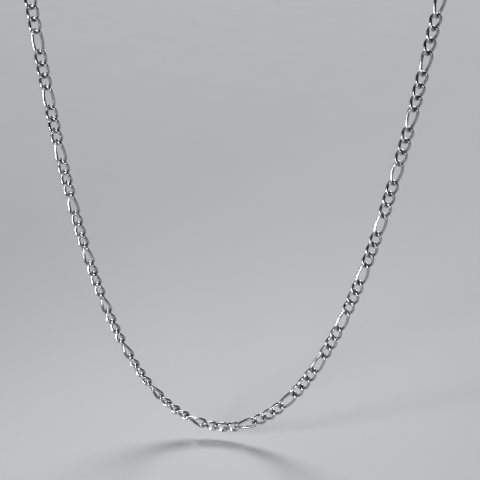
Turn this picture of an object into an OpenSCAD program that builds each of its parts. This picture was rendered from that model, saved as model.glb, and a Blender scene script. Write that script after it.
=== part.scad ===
// Figaro neck chain: a closed loop of twisted oval links, three short ones to each long one.
// It hangs as a narrow drop in front, turns back over the shoulders and closes behind the neck.
// Units are millimetres. X is to the right, Y is to the back, Z is up.
// The origin is the middle of the clasp, at the nape.

/* [Links] */
// Thickness of the round wire that every link is bent from
wire_d = 0.7; // [0.6:0.05:0.75]
// Outside width of a short link before it is twisted
short_w = 3; // [2.9:0.05:3.3]
// Outside width of a long link before it is twisted
long_w = 2.85; // [2.8:0.05:3.2]
// Share of the way from a plain oval with straight sides to an ellipse, for a short link
short_oval = 0.5; // [0:0.05:0.6]
// The same share for a long link
long_oval = 0.25; // [0:0.05:0.35]
// Distance that one short link adds to the chain
short_pitch = 2.8; // [2.7:0.05:3.2]
// Distance that one long link adds to the chain
long_pitch = 4.8; // [4.4:0.05:5.6]
// Clearance left where two neighbouring wires bear on each other
link_gap = 0.17; // [0.16:0.01:0.22]
// Angle that each end of a link is twisted out of its middle plane
link_twist = 45; // [44:1:48]

/* [Pattern] */
// Links on each side of the middle link at the bottom of the drop
links_per_side = 75; // [70:1:75]
// Distance that the middle link sits to the right of the lowest point
middle_shift = 0.3; // [0:0.1:0.5]

/* [Drop] */
// Radius of the bend at the lowest point of the hanging front
drop_bend_r = 17; // [15:0.5:22]
// Length of chain from the lowest point up to the start of the shoulder bend
drop_reach = 128; // [120:1:130]

/* [Neck] */
// Angle through which the chain turns from hanging to lying back over the shoulder
shoulder_turn = 75; // [65:1:85]
// Angle that the shoulder bend leans outward
shoulder_lean = 12; // [0:1:20]

/* [Clasp] */
// Wire of the two jump rings
ring_wire_d = 0.8; // [0.7:0.05:0.9]
// Radius of a jump ring to the middle of its wire
ring_r = 1.6; // [1.5:0.05:2]
// Wire of the clasp's ring and eye
clasp_wire_d = 1; // [0.9:0.05:1.1]
// Radius of the clasp's ring to the middle of its wire
clasp_ring_r = 2.5; // [2.3:0.1:3.5]
// Radius of the clasp's eye to the middle of its wire
clasp_eye_r = 1.4; // [1.3:0.05:1.8]
// Length of the plain neck between the clasp's ring and eye
clasp_neck = 1.2; // [1:0.1:2]
// Thickness of the plain neck
clasp_neck_d = 1.6; // [1.4:0.1:2]

/* [Hidden] */
steel = [0.78, 0.79, 0.81];
wire_sides = 5;
round_sides = 48;
// Distance from the lowest point along the chain, and the roll of the links there.
// A roll of 0 faces the front, and a positive one turns that face to the inside of the loop.
distance = 0;
roll = 1;
roll_rows = [
  [-255, -45],
  [-190, -8],
  [-128, 22],
  [-116, 20],
  [-107, 17],
  [-97, 7],
  [-87, -6],
  [-77, -15],
  [-68, -19],
  [-58, -25],
  [-47, -31],
  [-37, -37],
  [-28, -42],
  [-18, -40],
  [-8, -32],
  [3, -17],
  [12, -3],
  [22, 18],
  [32, 25],
  [43, 19],
  [61, 17],
  [71, 7],
  [82, -6],
  [91, -17],
  [101, -23],
  [115, -24],
  [135, -32],
  [190, -75],
  [255, -135]
];

// Half the length of a link's centreline oval
short_half = (short_pitch + wire_d + link_gap) / 2;
long_half = (long_pitch + wire_d + link_gap) / 2;

// Corners of a link's end: the angle, and the reach as a share of the curve's own distance.
// All but the tip stand out a little, so that the chords between them run along the true curve.
angle = 0;
reach = 1;
end_rows = [
  [0, 1.015],
  [50, 1.09],
  [90, 1],
  [130, 1.09],
  [180, 1.015]
];

// The loop is closed by the clasp, whose middle is the nape.
end_bar = joint_at(links_per_side) + (wire_d + link_gap) / 2;
ring_near_bar = end_bar - (wire_d + ring_wire_d) / 2 - link_gap;
ring_at = ring_near_bar + ring_r;
clasp_near_bar = ring_at + ring_r - (ring_wire_d + clasp_wire_d) / 2 - link_gap;
clasp_centres = clasp_ring_r + clasp_neck + clasp_eye_r;
clasp_length = clasp_ring_r + clasp_centres + clasp_eye_r;
loop_half = clasp_near_bar + clasp_length / 2;

// Shoulder bend and back arc, sized so that the loop closes at its real length
drop_rise = sqrt(pow(drop_bend_r, 2) + pow(drop_reach, 2)) - drop_bend_r;
drop_half_w = drop_bend_r * asinh(drop_reach / drop_bend_r);
lean = atan2(drop_bend_r, drop_reach);
up_way = [sin(lean), 0, cos(lean)];
back_way = cos(shoulder_lean) * [0, 1, 0] + sin(shoulder_lean) * [cos(lean), 0, -sin(lean)];
bend_end_way = cos(shoulder_turn) * up_way + sin(shoulder_turn) * back_way;
flare = asin(bend_end_way[0]);
arc_turn = 90 + flare;
bend_shift = sin(shoulder_turn) * up_way + (1 - cos(shoulder_turn)) * back_way;
rest = loop_half - drop_reach;
arc_per_mm = rad(arc_turn) / cos(flare);
shoulder_r = (rest - drop_half_w * arc_per_mm) / (rad(shoulder_turn) + bend_shift[0] * arc_per_mm);
bend_length = shoulder_r * rad(shoulder_turn);
bend_end = [drop_half_w, 0, drop_rise] + shoulder_r * bend_shift;
arc_r = bend_end[0] / cos(flare);
arc_way = [0, bend_end_way[1], bend_end_way[2]] / norm([0, bend_end_way[1], bend_end_way[2]]);
arc_centre = [0, bend_end[1], bend_end[2]] + arc_r * sin(flare) * arc_way;
arc_tilt = atan2(arc_way[2], arc_way[1]);
nape = arc_centre + arc_r * arc_way;

function rad(angle) = angle * PI / 180;
function deg(value) = value * 180 / PI;
function asinh(x) = ln(x + sqrt(x * x + 1));
function unit(v) = v / norm(v);

// Whether a link is long, by its place from the middle link: every fourth is, from the second.
function is_long(k) = k % 4 == 2;
function half_length(k) = is_long(k) ? long_half : short_half;

// Distance along the chain at which the link number k on one side ends
function joint_at(k) = let (longs = floor((k + 2) / 4))
  short_pitch / 2 + longs * long_pitch + (k - longs) * short_pitch;

// Place on the right half of the loop: the hanging curve, the shoulder bend, then the back arc.
function right_place(s) =
  s < drop_reach
  ? [drop_bend_r * asinh(s / drop_bend_r), 0, sqrt(pow(drop_bend_r, 2) + s * s) - drop_bend_r]
  : s < drop_reach + bend_length
  ? let (a = deg((s - drop_reach) / shoulder_r))
    [drop_half_w, 0, drop_rise] + shoulder_r * (sin(a) * up_way + (1 - cos(a)) * back_way)
  : let (a = deg((loop_half - s) / arc_r))
    arc_centre + arc_r * [sin(a), cos(a) * arc_way[1], cos(a) * arc_way[2]];

function place(s) = let (p = right_place(abs(s)) - nape) s < 0 ? [-p[0], p[1], p[2]] : p;

// Direction that a link with no roll faces: the front on the drop, and up behind the neck
function face_way(s) = let (a = 90 * min(1, max(0, (abs(s) - drop_reach) / bend_length)))
  [0, -cos(a), sin(a)];

function roll_at(s) = lookup(s, [for (row = roll_rows) [row[distance], row[roll]]]);

// Frame of a link between two distances: its middle, then its across, along and facing directions
function frame_between(s1, s2) = let (
    p1 = place(s1),
    p2 = place(s2),
    along = unit(p2 - p1),
    face = face_way((s1 + s2) / 2),
    plain_face = unit(face - (face * along) * along),
    plain_across = cross(along, plain_face),
    a = roll_at((s1 + s2) / 2),
    across = cos(a) * plain_across + sin(a) * plain_face
  ) [(p1 + p2) / 2, across, along, cross(across, along)];

// A corner of a link's end, on the way from a half circle past straight sides to an ellipse
function end_corner(row, half, half_w, share) = let (
    flat = half - half_w,
    plain = [half_w * cos(row[angle]), flat + half_w * sin(row[angle])],
    a = atan2(plain[1] / half, plain[0] / half_w),
    p = (1 - share) * plain + share * [half_w * cos(a), half * sin(a)]
  ) [p[0] * row[reach], flat + (p[1] - flat) * row[reach]];

// Centreline points of a link as [across, along], one end after the other
function oval(k) = let (
    half_w = ((is_long(k) ? long_w : short_w) - wire_d) / 2,
    share = is_long(k) ? long_oval : short_oval,
    end = [for (row = end_rows) end_corner(row, half_length(k), half_w, share)],
    middle = is_long(k) ? [[-half_w, 0]] : []
  ) concat(end, middle, -end, -middle);

// The same points twisted about the link's length, in the link's frame
function twisted(points, half) = [for (p = points) let (a = link_twist * p[1] / half)
  [p[0] * cos(a), p[1], p[0] * sin(a)]];

// Points of the wire round each centreline point
function wire_points(centres, points, half) = let (n = len(centres)) [
  for (i = [0 : n - 1]) let (
      way = unit(centres[(i + 1) % n] - centres[(i + n - 1) % n]),
      a = link_twist * points[i][1] / half,
      up = [-sin(a), 0, cos(a)],
      side = unit(up - (up * way) * way),
      other = cross(way, side)
    )
    for (j = [0 : wire_sides - 1]) let (b = 360 * j / wire_sides)
      centres[i] + wire_d / 2 * (cos(b) * side + sin(b) * other)
];

function wire_faces(n) = [
  for (i = [0 : n - 1], j = [0 : wire_sides - 1]) let (
      i2 = (i + 1) % n,
      j2 = (j + 1) % wire_sides,
      a = i * wire_sides + j,
      b = i2 * wire_sides + j,
      c = i2 * wire_sides + j2,
      d = i * wire_sides + j2
    )
    each [[a, b, c], [a, c, d]]
];

// One link between two distances along the chain
module link(s1, s2, k) {
  half = half_length(k);
  points = oval(k);
  local = wire_points(twisted(points, half), points, half);
  f = frame_between(s1, s2);
  placed = [for (p = local) f[0] + p[0] * f[1] + p[1] * f[2] + p[2] * f[3]];
  polyhedron(placed, wire_faces(len(points)), convexity = 6);
}

// Links of one side from the middle out, where side is 1 for right and -1 for left
module strand(side) {
  for (k = [1 : links_per_side]) {
    near = side * joint_at(k - 1) + shift_at(k - 1);
    far = side * joint_at(k) + shift_at(k);
    link(min(near, far), max(near, far), k);
  }
}

// The shift of the pattern fades out before the clasp.
function shift_at(k) = middle_shift * (1 - k / links_per_side);

// A round ring of wire that lies level about the origin
module wire_ring(radius, wire) {
  rotate_extrude($fn = round_sides)
    translate([radius, 0])
      circle(d = wire, $fn = round_sides);
}

// Left half of the chain, with the middle link at the bottom of the drop
module chain_left() {
  color(steel) {
    strand(-1);
    link(-joint_at(0) + middle_shift, joint_at(0) + middle_shift, 0);
  }
}

// Right half of the chain
module chain_right() {
  color(steel) strand(1);
}

// Closed ring that joins the left half to the clasp's ring
module jump_ring_left() {
  color(steel) jump_ring(-1);
}

// Closed ring that joins the right half to the clasp's eye
module jump_ring_right() {
  color(steel) jump_ring(1);
}

// A jump ring lies in the plane of the back arc, across the upright link end and the upright clasp.
module jump_ring(side) {
  translate(place(side * ring_at))
    rotate([arc_tilt, 0, 0])
      wire_ring(ring_r, ring_wire_d);
}

// Plain one-piece clasp: a large ring to the left and an eye to the right on a short neck
module clasp() {
  ring_x = -clasp_length / 2 + clasp_ring_r;
  eye_x = clasp_length / 2 - clasp_eye_r;
  color(steel)
    union() {
      translate([ring_x, 0, 0])
        rotate([90, 0, 0])
          wire_ring(clasp_ring_r, clasp_wire_d);
      translate([eye_x, 0, 0])
        rotate([90, 0, 0])
          wire_ring(clasp_eye_r, clasp_wire_d);
      translate([ring_x + clasp_ring_r - clasp_wire_d / 4, 0, 0])
        rotate([0, 90, 0])
          cylinder(d = clasp_neck_d, h = clasp_neck + clasp_wire_d / 2, $fn = round_sides);
    }
}

chain_left();
chain_right();
jump_ring_left();
jump_ring_right();
clasp();
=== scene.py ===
"""Looks of the figaro neck chain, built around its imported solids.

Twisted oval links of round wire, two jump rings and a plain clasp replace the faceted or
sharp-edged solids, at the same places and sizes. Lengths are in metres. X is to the right,
Y to the back, Z up, and the origin is the middle of the clasp, at the nape.
"""
from collections import namedtuple

import bpy
import numpy as np
from mathutils import Matrix, Vector


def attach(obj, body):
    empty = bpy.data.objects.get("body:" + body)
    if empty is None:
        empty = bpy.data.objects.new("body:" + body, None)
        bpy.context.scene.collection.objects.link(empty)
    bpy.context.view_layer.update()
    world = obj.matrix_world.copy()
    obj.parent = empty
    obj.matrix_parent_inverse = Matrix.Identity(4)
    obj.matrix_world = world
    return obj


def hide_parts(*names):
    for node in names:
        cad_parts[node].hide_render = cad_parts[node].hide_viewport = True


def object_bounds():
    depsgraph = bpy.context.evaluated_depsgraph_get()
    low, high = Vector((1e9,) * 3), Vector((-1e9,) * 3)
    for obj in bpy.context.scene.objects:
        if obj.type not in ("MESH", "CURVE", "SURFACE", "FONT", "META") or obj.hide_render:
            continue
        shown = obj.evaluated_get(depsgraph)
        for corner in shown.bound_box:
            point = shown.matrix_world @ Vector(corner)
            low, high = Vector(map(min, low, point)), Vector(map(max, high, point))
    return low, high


bl_info = {
    "name": "Figaro neck chain",
    "version": (1, 0, 0),
    "blender": (4, 5, 0),
    "location": "View3D > Sidebar > Neck chain",
    "description": "Links, jump rings, clasp and studio of a hanging figaro neck chain",
    "category": "Object",
}

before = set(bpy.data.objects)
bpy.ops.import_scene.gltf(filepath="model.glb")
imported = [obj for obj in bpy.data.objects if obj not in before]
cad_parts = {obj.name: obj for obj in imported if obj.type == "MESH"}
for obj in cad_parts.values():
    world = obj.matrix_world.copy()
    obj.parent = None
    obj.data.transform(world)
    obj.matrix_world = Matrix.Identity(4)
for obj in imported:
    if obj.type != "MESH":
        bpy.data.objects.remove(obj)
CAD_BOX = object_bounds()
MM = 0.001

# Distance from the lowest point along the chain in millimetres, and the roll of the links there
# in degrees. A roll of 0 faces the front, and a positive one turns it to the inside of the loop.
ROLL_PLACES, ROLL_ANGLES = np.array([
    (-255, -45), (-190, -8), (-128, 22), (-116, 20), (-107, 17), (-97, 7), (-87, -6), (-77, -15),
    (-68, -19), (-58, -25), (-47, -31), (-37, -37), (-28, -42), (-18, -40), (-8, -32), (3, -17),
    (12, -3), (22, 18), (32, 25), (43, 19), (61, 17), (71, 7), (82, -6), (91, -17), (101, -23),
    (115, -24), (135, -32), (190, -75), (255, -135),
], float).T

# Points along one closed wire and points round it, then points along the clasp's neck
LINK_POINTS, LINK_SIDES = 52, 16
RING_POINTS, RING_SIDES = 96, 20
CLASP_POINTS, CLASP_SIDES = 96, 28
NECK_POINTS = 33

# How far the wear is moved along a wire whose tone is 1, in millimetres: on a link, then on a
# jump ring or the clasp
LINK_OFFSET, FITTING_OFFSET = 37, 17

# Seed of the links' random tones
SEED = 11

# How far round its ring, in radians, the clasp's swell has fallen to about a third
SWELL_ANGLE = 0.45

# Half of the floor's width
FLOOR_HALF = 4.0

# The camera, fitted to 75 link crossings in the photo, with the lowest point at the origin:
# its tilt down, its turn to the side and its roll, then where the lowest point lies in front of
# it (right, depth, up), and its focal length in widths of the picture
TILT, TURN, ROLL = np.radians((22.20, -7.21, 1.65))
LOWEST_SEEN = np.array([-5.23, 328.0, -47.19]) * MM
FOCAL_WIDTHS = 1298.8 / 480

# Points and faces of one closed surface, with three values at each point: its place on the
# unrolled wire in millimetres, how deep it lies in a bearing, and the tone of its own wire
# The bearing sets where the steel's colour is darkened as painted shade
Skin = namedtuple("Skin", "points faces wire_place bearing tone")


def length(name, words, value, low, high):
    """A distance, given in metres, that the sidebar shows in the scene's own unit."""
    return bpy.props.FloatProperty(name=name, description=words, default=value, min=low, max=high,
                                   precision=5, unit="LENGTH", subtype="DISTANCE")


def angle(name, words, degrees):
    """An angle, given in degrees and kept in radians."""
    return bpy.props.FloatProperty(name=name, description=words, default=np.radians(degrees),
                                   unit="ROTATION", subtype="ANGLE")


def colour(name, words, value):
    """A plain colour."""
    return bpy.props.FloatVectorProperty(name=name, description=words, default=value, size=3,
                                         min=0.0, max=1.0, subtype="COLOR")


def share(name, words, value):
    """A share from 0 to 1."""
    return bpy.props.FloatProperty(name=name, description=words, default=value, min=0.0, max=1.0,
                                   subtype="FACTOR")


def power(name, words, value):
    """The power of a light in watts."""
    return bpy.props.FloatProperty(name=name, description=words, default=value, min=0.0,
                                   unit="POWER")


class LinkSizes(bpy.types.PropertyGroup):
    """Sizes of the oval links and of their pattern."""
    wire: length("Wire", "Thickness of the round wire of a link", 0.7 * MM, 0.0004, 0.0015)
    short_wide: length("Short width", "Outside width of a short link before its twist",
                       3.0 * MM, 0.002, 0.006)
    long_wide: length("Long width", "Outside width of a long link before its twist",
                      2.85 * MM, 0.002, 0.006)
    short_oval: share("Short oval", "Share of the way from straight sides to an ellipse", 0.5)
    long_oval: share("Long oval", "The same share for a long link", 0.25)
    short_pitch: length("Short pitch", "Length that a short link adds", 2.8 * MM, 0.002, 0.006)
    long_pitch: length("Long pitch", "Length that a long link adds", 4.8 * MM, 0.003, 0.01)
    play: length("Play", "Room between two wires that bear on each other", 0.06 * MM, 0, 0.0003)
    cad_play: length("Solids' play", "The same room in the packed solids", 0.17 * MM, 0, 0.0003)
    twist: angle("Twist", "Turn of each end of a link out of its middle plane", 45)
    per_side: bpy.props.IntProperty(name="Links a side", default=75, min=4, max=75,
                                    description="Links on each side of the middle one")
    shift: length("Pattern shift", "Middle link's distance right of the lowest point",
                  0.3 * MM, 0, 0.001)


class LoopSizes(bpy.types.PropertyGroup):
    """Course of the chain from the front drop to the nape."""
    bend: length("Drop bend", "Radius of the bend at the lowest point", 17 * MM, 0.01, 0.03)
    reach: length("Drop reach", "Length of chain up to the shoulder bend", 128 * MM, 0.05, 0.2)
    turn: angle("Shoulder turn", "Turn from hanging to lying back over the shoulder", 75)
    lean: angle("Shoulder lean", "Outward lean of the shoulder bend", 12)
    tuck: length("Tuck", "Draws the hidden stretch in, so that round wire stays in the solids' box",
                 0.1 * MM, 0, 0.001)


class ClosureSizes(bpy.types.PropertyGroup):
    """Sizes of the jump rings and the clasp."""
    ring_wire: length("Ring wire", "Wire of a jump ring", 0.8 * MM, 0.0004, 0.0015)
    ring_radius: length("Ring radius", "Jump ring to its wire's middle", 1.6 * MM, 0.001, 0.003)
    slit: length("Slit", "Depth of a jump ring's closed slit, and half its width",
                 0.05 * MM, 0.00001, 0.0001)
    clasp_wire: length("Clasp wire", "Wire of the clasp's ring and eye", 0.99 * MM, 0.0005, 0.002)
    clasp_ring: length("Clasp ring", "Clasp ring to its wire's middle", 2.5 * MM, 0.0015, 0.005)
    clasp_eye: length("Clasp eye", "Clasp eye to its wire's middle", 1.4 * MM, 0.001, 0.003)
    swell: share("Swell", "Share by which the clasp's wire is thicker where it meets the neck",
                 0.45)
    neck: length("Neck", "Length of the clasp's neck", 1.2 * MM, 0.0005, 0.004)
    neck_wide: length("Neck thickness", "Thickness of the clasp's neck", 1.6 * MM, 0.001, 0.003)


class SteelFinish(bpy.types.PropertyGroup):
    """Colours and polish of the steel."""
    bright: colour("Bright steel", "Colour of the clean polished wire", (0.54, 0.545, 0.56))
    # The dull colour also serves as painted shade where wires bear on each other
    dull_and_shade: colour("Dull steel", "Colour where polish and dirt gather", (0.08, 0.08, 0.085))
    polish: share("Polish", "Roughness of the best polished places", 0.10)
    haze: share("Haze", "Roughness that handling adds in places", 0.24)


class StudioLook(bpy.types.PropertyGroup):
    """Floor and light round the chain."""
    floor: colour("Floor", "Colour of the pale floor", (0.66, 0.665, 0.675))
    gap: length("Floor gap", "Room between the lowest link and the floor", 2.0 * MM, 0, 0.02)
    surround: colour("Surround", "Colour of the even light from all round", (0.006, 0.006, 0.007))
    top: power("Top light", "Power of the broad soft light above and behind", 18.5)
    left: power("Left light", "Power of the narrow soft light on the left", 0.084)
    front: power("Front light", "Power of the narrow soft light in front", 0.033)


def unit(v):
    """Each row of v divided by its own length."""
    return v / np.linalg.norm(v, axis=-1, keepdims=True)


def ramp(value, low, high):
    """Rises evenly from 0 at low to 1 at high, and stays flat beyond them."""
    return np.clip((value - low) / (high - low), 0, 1)


def inner_side(inward):
    """1 where a wire's skin looks inward, 0 where it looks away, and a soft change between."""
    return np.clip(0.5 + 0.9 * inward, 0, 1)


def joint_at(k, sizes):
    """Distance at which link number k of one side ends, with every fourth link a long one."""
    longs = (k + 2) // 4
    return sizes.short_pitch / 2 + longs * sizes.long_pitch + (k - longs) * sizes.short_pitch


class Loop:
    """Centreline of the closed chain, by the distance s from its lowest point.

    On each side it is a catenary of radius bend up to the drop's reach, then an arc that leans
    back over the shoulder, then an arc round the back of the neck that meets its mirror image
    at the nape. The two arcs' radii follow from the loop's real length.
    """

    def __init__(self, links, course, closure):
        self.links, self.bend, self.reach, self.tuck = links, course.bend, course.reach, course.tuck
        self.end_joint = joint_at(links.per_side, links)
        self.add_closure(links, closure)
        self.add_arcs(course)

    def add_closure(self, links, closure):
        """Works out half of the loop's length, and the places of the jump rings and last links.

        A bar is the distance at which the middle of a piece's end wire lies. The clasp's bar is
        inside a jump ring, whose other bar is inside the last link.
        """
        wires = (closure.ring_wire + closure.clasp_wire) / 2
        ring_and_link = (closure.ring_wire + links.wire) / 2
        link_bar = self.end_joint + (links.wire + links.cad_play) / 2
        ring_bar = link_bar - ring_and_link - links.cad_play
        clasp_bar = ring_bar + 2 * closure.ring_radius - wires - links.cad_play
        self.clasp_length = 2 * (closure.clasp_ring + closure.clasp_eye) + closure.neck
        self.half = clasp_bar + self.clasp_length / 2

        # The dressed wires bear closer than the solids do. The clasp keeps its place, the jump
        # rings move away from it by a tenth of a millimetre, and hidden links take up the rest.
        self.ring_at = clasp_bar + wires + links.play - closure.ring_radius
        dressed_bar = self.ring_at - closure.ring_radius + ring_and_link + links.play
        self.take_up = self.end_joint - (dressed_bar - (links.wire + links.play) / 2)

    def add_arcs(self, course):
        """Works out the two arcs that close the loop.

        The chain leaves the drop in the direction up, and the shoulder's arc turns that towards
        the direction back. For each unit of its radius that arc ends at the offset shift, in the
        direction way. The arc round the neck goes on from there. It turns by a quarter circle
        and the flare, the angle at which way still points outward, so its length is a fixed
        multiple of the half width where it starts. The three lengths add up to half the loop,
        which gives the shoulder's radius.
        """
        rise = np.hypot(self.bend, self.reach) - self.bend
        half_wide = self.bend * np.arcsinh(self.reach / self.bend)
        slope = np.arctan2(self.bend, self.reach)
        self.up = np.array([np.sin(slope), 0, np.cos(slope)])
        across = np.array([np.cos(slope), 0, -np.sin(slope)])
        self.back = np.cos(course.lean) * np.array([0, 1, 0]) + np.sin(course.lean) * across
        way = np.cos(course.turn) * self.up + np.sin(course.turn) * self.back
        shift = np.sin(course.turn) * self.up + (1 - np.cos(course.turn)) * self.back
        flare = np.arcsin(way[0])
        turn_per_width = (np.pi / 2 + flare) / np.cos(flare)
        self.shoulder = ((self.half - self.reach - half_wide * turn_per_width)
                         / (course.turn + shift[0] * turn_per_width))
        self.bend_end = self.reach + self.shoulder * course.turn
        self.drop_end = np.array([half_wide, 0, rise])
        arc_start = self.drop_end + self.shoulder * shift
        self.arc = arc_start[0] / np.cos(flare)
        self.arc_way = unit(np.array([0, way[1], way[2]]))
        self.centre = arc_start * (0, 1, 1) + self.arc * np.sin(flare) * self.arc_way
        self.nape = self.centre + self.arc * self.arc_way

    def place(self, s):
        """Points at the distances s, with the nape at the origin."""
        s = np.asarray(s, float)
        d = np.abs(s)[..., None]
        x, _, z = np.eye(3)
        drop = self.bend * np.arcsinh(d / self.bend) * x + (np.hypot(self.bend, d) - self.bend) * z
        a = (d - self.reach) / self.shoulder
        bend = self.drop_end + self.shoulder * (np.sin(a) * self.up + (1 - np.cos(a)) * self.back)
        a = (self.half - d) / self.arc
        arc = self.centre + self.arc * (np.sin(a) * x + np.cos(a) * self.arc_way)
        p = np.where(d < self.reach, drop, np.where(d < self.bend_end, bend, arc)) - self.nape
        p[..., 0] -= self.tuck * np.sin(np.pi * ramp(np.abs(s), self.reach, self.half))
        p[..., 0] *= np.where(s < 0, -1, 1)
        return p

    def frames(self, s1, s2):
        """Middle, across, along and facing directions of the links between distances s1 and s2.

        The face looks to the front on the drop and tips up behind the neck. It is made square
        to the link's own direction, and then turned about it by the roll of that distance.
        """
        p1, p2, s = self.place(s1), self.place(s2), (s1 + s2) / 2
        along = unit(p2 - p1)
        tip = np.pi / 2 * ramp(np.abs(s), self.reach, self.bend_end)
        face = np.stack([0 * tip, -np.cos(tip), np.sin(tip)], -1)
        face = unit(face - (face * along).sum(-1, keepdims=True) * along)
        side = np.cross(along, face)
        roll = np.radians(np.interp(s / MM, ROLL_PLACES, ROLL_ANGLES))[..., None]
        across = np.cos(roll) * side + np.sin(roll) * face
        return (p1 + p2) / 2, across, along, np.cross(across, along)

    def joint(self, k, side):
        """Distance of the joint past link number k on a side, where side is 1 or -1."""
        plain = joint_at(k, self.links)
        hidden = ramp(plain, self.reach, self.end_joint)
        shift = self.links.shift * (1 - k / self.links.per_side)
        return side * (plain - self.take_up * hidden) + shift


def closed_grid(rows, sides):
    """Corner numbers of the four-sided faces of a grid that is closed both ways."""
    r, c = np.meshgrid(np.arange(rows), np.arange(sides), indexing="ij")
    r2, c2 = (r + 1) % rows, (c + 1) % sides
    corners = [r * sides + c, r * sides + c2, r2 * sides + c2, r2 * sides + c]
    return np.stack(corners, -1).reshape(-1, 4)


def wire_skin(centre, tangent, up, radius, sides):
    """Skin of a wire and its normals: at each centreline point, a circle square to the tangent.

    Point = centre + radius * (cos b * side + sin b * other), where side is the up direction made
    square to the tangent, other is tangent x side, and b runs once round in equal steps.
    """
    side = unit(up - (up * tangent).sum(-1, keepdims=True) * tangent)
    other = np.cross(tangent, side)
    b = np.arange(sides) * 2 * np.pi / sides
    normal = np.cos(b)[:, None] * side[:, None] + np.sin(b)[:, None] * other[:, None]
    radius = np.broadcast_to(np.asarray(radius, float), centre.shape[:1])
    return centre[:, None] + radius[:, None, None] * normal, normal


def unrolled(run, wire, sides, start):
    """Places on the unrolled wire in millimetres: the run along it, then two round it.

    The run goes out to half of the closed wire and back, so that a pattern on it has no seam.
    """
    b = np.arange(sides) * 2 * np.pi / sides
    out = np.empty((len(run), sides, 3))
    out[..., 0] = start + run[:, None] / MM
    out[..., 1] = wire / 2 / MM * np.cos(b)
    out[..., 2] = wire / 2 / MM * np.sin(b)
    return out


def oval_link(half_wide, half_long, oval, wire, twist, rows, sides):
    """Skin, bearing and unrolled places of one link about its own middle.

    Across is X, along is Y and facing is Z. The plain oval has two straight sides and two half
    circles, walked at even steps of length. Each of its points (w, u) goes a share of the way to
    the ellipse's point (half_wide cos b, half_long sin b), where tan b = (u / half_long) /
    (w / half_wide). It then turns about the length by a = twist * u / half_long, to
    (w cos a, u, w sin a). The bearing is 1 inside a link's end.
    """
    flat = half_long - half_wide
    half_round = 2 * flat + np.pi * half_wide
    d = np.arange(rows) * 2 * half_round / rows
    e = np.mod(d, half_round)
    back = np.where(d >= half_round, -1.0, 1.0)
    turn = np.clip((e - flat) / half_wide, 0, np.pi)
    w = back * half_wide * np.cos(turn)
    past = np.maximum(e - flat - np.pi * half_wide, 0)
    u = back * (np.minimum(e, flat) + half_wide * np.sin(turn) - past)
    b = np.arctan2(u / half_long, w / half_wide)
    w = w + oval * (half_wide * np.cos(b) - w)
    u = u + oval * (half_long * np.sin(b) - u)
    a = twist * u / half_long
    centre = np.stack([w * np.cos(a), u, w * np.sin(a)], -1)
    tangent = unit(np.roll(centre, -1, 0) - np.roll(centre, 1, 0))
    up = np.stack([-np.sin(a), 0 * a, np.cos(a)], -1)
    skin, normal = wire_skin(centre, tangent, up, wire / 2, sides)
    # The bearing sets painted shade on the steel, inside each end of the link
    near_end = ramp(np.abs(u) / half_long, 0.55, 0.95)[:, None]
    bearing = near_end * inner_side(-np.sign(u)[:, None] * normal[..., 1])
    run = half_round - np.abs(d - half_round)
    return skin, bearing, unrolled(run, wire, sides, 0)


def link_skins(loop, side):
    """Skins of the short and the long links of one side, the left one with the middle link."""
    sizes = loop.links
    numbers = np.arange(1, sizes.per_side + 1)
    skins = []
    for long in (False, True):
        k = numbers[(numbers % 4 == 2) == long]
        pitch = sizes.long_pitch if long else sizes.short_pitch
        wide, oval = ((sizes.long_wide, sizes.long_oval) if long
                      else (sizes.short_wide, sizes.short_oval))
        half_wide = (wide - sizes.wire) / 2
        half_long = (pitch + sizes.wire + sizes.play) / 2
        low, high = np.sort([loop.joint(k - 1, side), loop.joint(k, side)], axis=0)
        if side < 0 and not long:
            low = np.append(low, sizes.shift - pitch / 2)
            high = np.append(high, sizes.shift + pitch / 2)
        skin, bearing, places = oval_link(half_wide, half_long, oval, sizes.wire, sizes.twist,
                                          LINK_POINTS, LINK_SIDES)
        centre, across, along, facing = (v[:, None, None] for v in loop.frames(low, high))
        placed = centre + skin[..., :1] * across + skin[..., 1:2] * along + skin[..., 2:] * facing
        tone = np.random.default_rng(SEED + side + 2 * long).random(len(low))
        places = places + LINK_OFFSET * tone[:, None, None, None] * np.eye(3)[0]
        step = LINK_POINTS * LINK_SIDES
        first = step * np.arange(len(low))[:, None, None]
        faces = (closed_grid(LINK_POINTS, LINK_SIDES) + first).reshape(-1, 4)
        skins.append(Skin(placed.reshape(-1, 3), faces.tolist(), places.reshape(-1, 3),
                          np.tile(bearing.ravel(), len(low)), np.repeat(tone, step)))
    return skins


def ring_skin(centre, start, upright, radius, wire, rows, sides, bears, swell=0.0, slit=0.0,
              tone=0.5):
    """Skin of one closed ring: a circle in the plane of the directions start and upright.

    At the start its wire swells by the share given, which falls off as a bell, or it has a
    closed slit: a V across the wire, as deep as given and twice as wide, where the rows crowd.
    The bearing is 1 on the inner side towards each of the given directions, and high in a slit.
    """
    a = np.arange(rows) * 2 * np.pi / rows
    if slit:
        crowding = 0.9
        a = a - crowding * np.sin(a)
    off = np.minimum(a, 2 * np.pi - a)
    bell = np.exp(-(off / SWELL_ANGLE) ** 2)
    cut = 1 - ramp(off * radius, 0, slit) if slit else 0 * off
    thick = wire / 2 * (1 + swell * bell) - slit * cut
    spoke = np.cos(a)[:, None] * start + np.sin(a)[:, None] * upright
    tangent = -np.sin(a)[:, None] * start + np.cos(a)[:, None] * upright
    up = np.broadcast_to(np.cross(start, upright), tangent.shape)
    skin, normal = wire_skin(centre + radius * spoke, tangent, up, thick, sides)
    near = np.max([ramp(spoke @ way, 0.75, 0.95) for way in bears], axis=0)[:, None]
    inward = -(normal * spoke[:, None]).sum(-1)
    # The bearing sets painted shade on the steel: on the inner side near each given direction, and
    # in the slit
    bearing = np.maximum(near * inner_side(inward), 0.8 * cut[:, None])
    places = unrolled(off * radius, wire, sides, FITTING_OFFSET * tone)
    return Skin(skin.reshape(-1, 3), closed_grid(rows, sides).tolist(), places.reshape(-1, 3),
                bearing.ravel(), np.full(rows * sides, tone))


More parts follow.
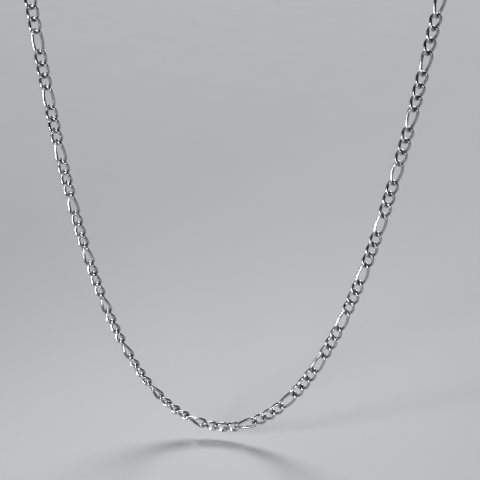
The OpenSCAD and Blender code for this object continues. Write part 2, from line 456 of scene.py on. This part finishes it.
def neck_skin(x1, x2, end_radius, middle_radius, sides, tone=0.5):
    """Skin of the clasp's neck: a profile turned about X, closed by a flat face at each end.

    Its radius at t from -1 to 1 is end radius + (middle radius - end radius) * (1 - t^6), and
    the points crowd towards the ends.
    """
    t = np.sin(np.linspace(-np.pi / 2, np.pi / 2, NECK_POINTS))
    radius = end_radius + (middle_radius - end_radius) * (1 - t ** 6)
    b = np.arange(sides) * 2 * np.pi / sides
    x = np.broadcast_to(((x1 + x2) / 2 + (x2 - x1) / 2 * t)[:, None], (len(t), sides))
    points = np.stack([x, radius[:, None] * np.cos(b), radius[:, None] * np.sin(b)], -1)
    walls = closed_grid(len(t), sides)[:-sides].tolist()
    last = (len(t) - 1) * sides
    caps = [list(range(sides)), list(range(last + sides - 1, last - 1, -1))]
    places = unrolled(x[:, 0], 2 * middle_radius, sides, FITTING_OFFSET * tone)
    count = len(t) * sides
    return Skin(points.reshape(-1, 3), walls + caps, places.reshape(-1, 3),
                np.zeros(count), np.full(count, tone))


def put_piece(name, skins, material, node):
    """Makes one object of the skins, which stands for the named solid and moves with it."""
    faces, first = [], 0
    for skin in skins:
        faces += [[corner + first for corner in face] for face in skin.faces]
        first += len(skin.points)
    mesh = bpy.data.meshes.new(name)
    mesh.from_pydata(np.concatenate([skin.points for skin in skins]), [], faces)
    mesh.shade_smooth()
    for word, kind, field in (("wire_place", "FLOAT_VECTOR", "vector"),
                              ("bearing", "FLOAT", "value"), ("tone", "FLOAT", "value")):
        values = np.concatenate([getattr(skin, word) for skin in skins]).astype(np.float32)
        mesh.attributes.new(word, kind, "POINT").data.foreach_set(field, values.ravel())
    mesh.materials.append(material)
    piece = bpy.data.objects.new(name, mesh)
    bpy.context.scene.collection.objects.link(piece)
    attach(piece, "root")
    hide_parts(node)


def put_node(tree, kind, x, y, values=None, **settings):
    """Adds a shader node at a place, with its settings.

    Each of its inputs that values names takes a plain value, or a link from an output socket.
    """
    node = tree.nodes.new(kind)
    node.location = x, y
    for key, value in settings.items():
        setattr(node, key, value)
    for key, value in (values or {}).items():
        if isinstance(value, bpy.types.NodeSocket):
            tree.links.new(value, node.inputs[key])
        else:
            node.inputs[key].default_value = value
    return node


def put_noise(tree, x, y, place, **values):
    """Adds a Noise Texture that reads a place. Gives its value."""
    return put_node(tree, "ShaderNodeTexNoise", x, y, {"Vector": place, **values}).outputs[0]


def put_math(tree, x, y, operation, first, second, clamp=False):
    """Adds a Math node. Each of its two inputs is a socket or a number. Gives its value."""
    return put_node(tree, "ShaderNodeMath", x, y, {0: first, 1: second}, operation=operation,
                    use_clamp=clamp).outputs[0]


def put_mix(tree, x, y, factor, first, second):
    """Adds a Mix node for colours. Each of its inputs is a socket or a value. Gives its colour."""
    return put_node(tree, "ShaderNodeMix", x, y, {0: factor, 6: first, 7: second},
                    data_type="RGBA").outputs[2]


def wear_and_shade_group():
    """Shader node group of worn polish and painted shade. Gives a colour, a roughness and a height.

    It has drawing streaks along the wire, cloudy handling marks, fine scuffs, and painted shade
    where wires bear, which also roughens them.
    """
    name = "worn_polish_and_shade"
    if name in bpy.data.node_groups:
        return bpy.data.node_groups[name]
    tree = bpy.data.node_groups.new(name, "ShaderNodeTree")
    for word, kind in (("Wire place", "Vector"), ("Place", "Vector"), ("Bearing", "Float"),
                       ("Tone", "Float"), ("Bright", "Color"), ("Dull and shade", "Color"),
                       ("Polish", "Float"), ("Haze", "Float"), ("Bearing shade", "Float")):
        tree.interface.new_socket(name=word, in_out="INPUT", socket_type="NodeSocket" + kind)
    for word, kind in (("Colour", "Color"), ("Roughness", "Float"), ("Height", "Float")):
        tree.interface.new_socket(name=word, in_out="OUTPUT", socket_type="NodeSocket" + kind)
    given = put_node(tree, "NodeGroupInput", -1200, 0).outputs

    def plus(x, y, first, second, clamp=False):
        return put_math(tree, x, y, "ADD", first, second, clamp)

    def times(x, y, first, second, clamp=False):
        return put_math(tree, x, y, "MULTIPLY", first, second, clamp)

    def patches(x, y, noise, low, high):
        """The places where a noise is over low, which are full where it reaches high."""
        return put_node(tree, "ShaderNodeMapRange", x, y,
                        {"Value": noise, "From Min": low, "From Max": high}).outputs[0]

    # Streaks run one or two millimetres along the wire and a tenth of a millimetre across it
    stretch = put_node(tree, "ShaderNodeMapping", -950, 300,
                       {"Vector": given["Wire place"], "Scale": (0.6, 9.0, 9.0)})
    streaks = put_noise(tree, -750, 300, stretch.outputs[0], Scale=1.0, Detail=3.0)

    # Clouds are a millimetre and more across, scuffs a quarter of a millimetre
    clouds = put_noise(tree, -750, 50, given["Place"], Scale=700.0, Detail=2.0)
    cloudy = patches(-550, 50, clouds, 0.38, 0.66)
    scuffs = put_noise(tree, -750, -200, given["Wire place"],
                       Scale=4.0, Detail=4.0, Roughness=0.65)
    scuffed = patches(-550, -200, scuffs, 0.56, 0.70)
    marks = plus(-300, 0, times(-450, 0, cloudy, 0.6), times(-450, -150, scuffed, 0.4))

    # Painted shade darkens the bearings, more of it in the clouds
    bearing_shade = times(-300, -350, given["Bearing"], given["Bearing shade"])
    bearing_shade = times(-150, -350, bearing_shade, plus(-300, -500, cloudy, 0.55), clamp=True)

    rough = plus(0, 0, times(-150, 0, marks, given["Haze"]), given["Polish"])
    rough = plus(150, 0, rough, times(0, -150, bearing_shade, 0.3))
    rough = plus(300, 0, rough, times(150, -150, given["Tone"], 0.05))
    # The colour goes towards the dark one by the painted shade, the handling marks and the tone
    shade_wear_and_tone = plus(150, -350, bearing_shade, times(0, -500, marks, 0.10))
    shade_wear_and_tone = plus(300, -350, shade_wear_and_tone, times(150, -500, given["Tone"], 0.06), clamp=True)
    tint = put_mix(tree, 500, -250, shade_wear_and_tone, given["Bright"], given["Dull and shade"])
    height = put_math(tree, 0, 300, "SUBTRACT", streaks, times(-150, 200, scuffed, 0.5))
    put_node(tree, "NodeGroupOutput", 900, 0,
             {"Colour": tint, "Roughness": rough, "Height": height})
    return tree


def blank_material(name):
    """A new material whose node tree is empty, and that tree."""
    material = bpy.data.materials.new(name)
    material.use_nodes = True
    material.node_tree.nodes.clear()
    return material, material.node_tree


def steel(name, bearing_shade, relief):
    """Polished steel: colour, roughness and fine relief from the wear group, whose colour holds
    painted shade.
    """
    look = bpy.context.scene.steel_finish
    material, tree = blank_material(name)
    material.diffuse_color = (*look.bright, 1)
    # The second argument sets how strong the painted shade in the bearings is
    values = {"Bright": (*look.bright, 1), "Dull and shade": (*look.dull_and_shade, 1), "Polish": look.polish,
              "Haze": look.haze, "Bearing shade": bearing_shade}
    for socket, word, output, y in (("Wire place", "wire_place", "Vector", 200),
                                    ("Bearing", "bearing", "Fac", 20),
                                    ("Tone", "tone", "Fac", -160)):
        value = put_node(tree, "ShaderNodeAttribute", -650, y, attribute_name=word)
        values[socket] = value.outputs[output]
    values["Place"] = put_node(tree, "ShaderNodeTexCoord", -650, -360).outputs["Object"]
    wear_and_shade = put_node(tree, "ShaderNodeGroup", -350, 0, values, node_tree=wear_and_shade_group()).outputs
    bumps = put_node(tree, "ShaderNodeBump", -100, -250,
                     {"Height": wear_and_shade["Height"], "Strength": relief, "Distance": 0.02 * MM})
    metal = put_node(tree, "ShaderNodeBsdfPrincipled", 120, 0,
                     {"Metallic": 1.0, "Base Color": wear_and_shade["Colour"],
                      "Roughness": wear_and_shade["Roughness"], "Normal": bumps.outputs[0]})
    put_node(tree, "ShaderNodeOutputMaterial", 420, 0, {"Surface": metal.outputs[0]})
    return material


def pale_floor():
    """Matt pale floor with a faint mottle in its colour and its roughness."""
    pale = bpy.context.scene.studio_look.floor
    material, tree = blank_material("pale_floor")
    place = put_node(tree, "ShaderNodeTexCoord", -800, 0).outputs["Object"]
    mottle = put_noise(tree, -600, 0, place, Scale=60.0, Detail=4.0)
    darker = [0.97 * c for c in pale]
    tint = put_mix(tree, -350, 100, mottle, (*darker, 1), (*pale, 1))
    rough = put_node(tree, "ShaderNodeMapRange", -350, -150,
                     {"Value": mottle, "To Min": 0.5, "To Max": 0.7})
    matt = put_node(tree, "ShaderNodeBsdfPrincipled", -100, 0,
                    {"Base Color": tint, "Roughness": rough.outputs[0]})
    put_node(tree, "ShaderNodeOutputMaterial", 200, 0, {"Surface": matt.outputs[0]})
    return material


def put_floor(look):
    """Makes the level floor, a little below the lowest link."""
    mesh = bpy.data.meshes.new("floor")
    level = CAD_BOX[0].z - look.gap
    mesh.from_pydata([(x * FLOOR_HALF, y * FLOOR_HALF, level) for x, y in
                      ((-1, -1), (1, -1), (1, 1), (-1, 1))], [], [(0, 1, 2, 3)])
    mesh.materials.append(pale_floor())
    floor = bpy.data.objects.new("floor", mesh)
    bpy.context.scene.collection.objects.link(floor)


def put_light(name, watts, target, place, wide, high, spread):
    """Adds a rectangular soft light that the camera can't see, at a place seen from its target.

    The spread is the angle in degrees that its light fans out to, as with a grid on a softbox.
    """
    light = bpy.data.lights.new(name, "AREA")
    light.shape, light.size, light.size_y, light.energy = "RECTANGLE", wide, high, watts
    light.spread = np.radians(spread)
    lamp = bpy.data.objects.new(name, light)
    lamp.location = Vector(target) + Vector(place)
    lamp.rotation_euler = (-Vector(place)).to_track_quat("-Z", "Y").to_euler()
    lamp.visible_camera = False
    bpy.context.scene.collection.objects.link(lamp)


def put_lights(look):
    """Makes the three soft lights, and the faint even light from all round.

    The top light shines on the floor behind the chain, the other two on the middle of its drop.
    """
    drop, behind = (0.0, -0.081, -0.085), (0.0, 0.20, -0.155)
    put_light("top", look.top, behind, place=(-0.09, 1.28, 2.15), wide=1.50, high=0.96, spread=110)
    put_light("left", look.left, drop, place=(-0.22, -0.20, 0.045), wide=0.04, high=0.13, spread=50)
    put_light("front", look.front, drop, place=(0.12, -0.30, 0.01), wide=0.03, high=0.09, spread=50)
    world = bpy.data.worlds.new("surround")
    world.use_nodes = True
    world.node_tree.nodes["Background"].inputs["Color"].default_value = (*look.surround, 1)
    bpy.context.scene.world = world


def camera_axes():
    """Rows are the camera's right, forward and up directions: a turn, then a tilt, then a roll."""
    (ct, st), (cy, sy), (cr, sr) = ((np.cos(v), np.sin(v)) for v in (TILT, TURN, ROLL))
    tilt = np.array([[1, 0, 0], [0, ct, -st], [0, st, ct]])
    turn = np.array([[cy, -sy, 0], [sy, cy, 0], [0, 0, 1]])
    roll = np.array([[cr, 0, sr], [0, 1, 0], [-sr, 0, cr]])
    return roll @ tilt @ turn


def put_camera():
    """Makes the camera that looks at the chain from the photo's own place."""
    scene = bpy.context.scene
    right, forward, up = axes = camera_axes()
    data = bpy.data.cameras.new("photo_camera")
    data.sensor_fit, data.sensor_width = "HORIZONTAL", 36.0
    data.lens = data.sensor_width * FOCAL_WIDTHS
    data.clip_start = 0.01
    camera = bpy.data.objects.new("photo_camera", data)
    turned = Matrix(np.stack([right, up, -forward], 1).tolist()).to_4x4()
    place = chain_loop().place(0.0) - axes.T @ LOWEST_SEEN
    camera.matrix_world = Matrix.Translation(place.tolist()) @ turned
    scene.collection.objects.link(camera)
    scene.camera = camera


def chain_loop():
    """The chain's centreline at the sizes that the sidebar shows."""
    scene = bpy.context.scene
    return Loop(scene.link_sizes, scene.loop_sizes, scene.closure_sizes)


class CHAIN_OT_links(bpy.types.Operator):
    """Makes the twisted oval links of both halves of the chain"""
    bl_idname = "chain.links"
    bl_label = "Links"

    def execute(self, context):
        loop = chain_loop()
        # Steel with painted shade where wires bear, strongest on the links
        finish = steel("link_steel", bearing_shade=0.85, relief=0.25)
        put_piece("links_left", link_skins(loop, -1), finish, "chain_left")
        put_piece("links_right", link_skins(loop, 1), finish, "chain_right")
        return {"FINISHED"}


class CHAIN_OT_jump_rings(bpy.types.Operator):
    """Makes the two closed jump rings, each with its fine slit to the outside of the loop"""
    bl_idname = "chain.jump_rings"
    bl_label = "Jump rings"

    def execute(self, context):
        sizes = context.scene.closure_sizes
        loop = chain_loop()
        # Steel with painted shade where the rings bear and in their slits
        finish = steel("ring_steel", bearing_shade=0.7, relief=0.28)
        step = 0.1 * MM
        for side, word in ((-1, "left"), (1, "right")):
            at = side * loop.ring_at
            along = unit(loop.place(at + step) - loop.place(at - step))
            across = unit(np.cross(np.cross([1, 0, 0], loop.arc_way), along))
            skin = ring_skin(loop.place(at), across, along, sizes.ring_radius, sizes.ring_wire,
                             RING_POINTS, RING_SIDES, (along, -along), slit=sizes.slit,
                             tone=0.5 + 0.3 * side)
            put_piece("ring_" + word, [skin], finish, "jump_ring_" + word)
        return {"FINISHED"}


class CHAIN_OT_clasp(bpy.types.Operator):
    """Makes the plain clasp: a ring and an eye whose wire swells into the neck between them"""
    bl_idname = "chain.clasp"
    bl_label = "Clasp"

    def execute(self, context):
        sizes = context.scene.closure_sizes
        # Steel with painted shade where the clasp bears
        finish = steel("clasp_steel", bearing_shade=0.6, relief=0.30)
        x, _, z = np.eye(3)
        half = chain_loop().clasp_length / 2
        ring_x, eye_x = -half + sizes.clasp_ring, half - sizes.clasp_eye
        sunk = sizes.clasp_wire / 4
        skins = [
            ring_skin(ring_x * x, x, z, sizes.clasp_ring, sizes.clasp_wire, CLASP_POINTS,
                      CLASP_SIDES, (-x,), swell=sizes.swell),
            ring_skin(eye_x * x, -x, z, sizes.clasp_eye, sizes.clasp_wire, CLASP_POINTS,
                      CLASP_SIDES, (x,), swell=sizes.swell),
            neck_skin(ring_x + sizes.clasp_ring - sunk, eye_x - sizes.clasp_eye + sunk,
                      sizes.clasp_wire / 2, sizes.neck_wide / 2, CLASP_SIDES),
        ]
        put_piece("clasp_body", skins, finish, "clasp")
        return {"FINISHED"}


class CHAIN_OT_stage(bpy.types.Operator):
    """Makes the pale floor, the soft studio light and the camera at the photo's angle"""
    bl_idname = "chain.stage"
    bl_label = "Stage"

    def execute(self, context):
        look = context.scene.studio_look
        put_floor(look)
        put_lights(look)
        put_camera()
        context.scene.view_settings.view_transform = "Standard"
        return {"FINISHED"}


OPERATORS = (CHAIN_OT_links, CHAIN_OT_jump_rings, CHAIN_OT_clasp, CHAIN_OT_stage)
SETTINGS = {"link_sizes": LinkSizes, "loop_sizes": LoopSizes, "closure_sizes": ClosureSizes,
            "steel_finish": SteelFinish, "studio_look": StudioLook}


class CHAIN_PT_sidebar(bpy.types.Panel):
    """Lists the chain's pieces with their sizes and colours"""
    bl_idname = "CHAIN_PT_sidebar"
    bl_label = "Figaro neck chain"
    bl_space_type = "VIEW_3D"
    bl_region_type = "UI"
    bl_category = "Neck chain"

    def draw(self, context):
        for operator in OPERATORS:
            self.layout.operator(operator.bl_idname)
        for word, group in SETTINGS.items():
            box = self.layout.box()
            box.label(text=word.replace("_", " ").capitalize())
            for name in group.__annotations__:
                box.prop(getattr(context.scene, word), name)


def register():
    """Registers the classes, and gives every scene its settings."""
    for kind in (*SETTINGS.values(), *OPERATORS, CHAIN_PT_sidebar):
        bpy.utils.register_class(kind)
    for word, group in SETTINGS.items():
        setattr(bpy.types.Scene, word, bpy.props.PointerProperty(type=group))


def unregister():
    """Takes away what register added, in the opposite order."""
    for word in SETTINGS:
        delattr(bpy.types.Scene, word)
    for kind in (CHAIN_PT_sidebar, *reversed(OPERATORS), *reversed(SETTINGS.values())):
        bpy.utils.unregister_class(kind)


def main():
    """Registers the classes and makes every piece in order."""
    register()
    bpy.ops.chain.links()
    bpy.ops.chain.jump_rings()
    bpy.ops.chain.clasp()
    bpy.ops.chain.stage()


if __name__ == "__main__":
    main()
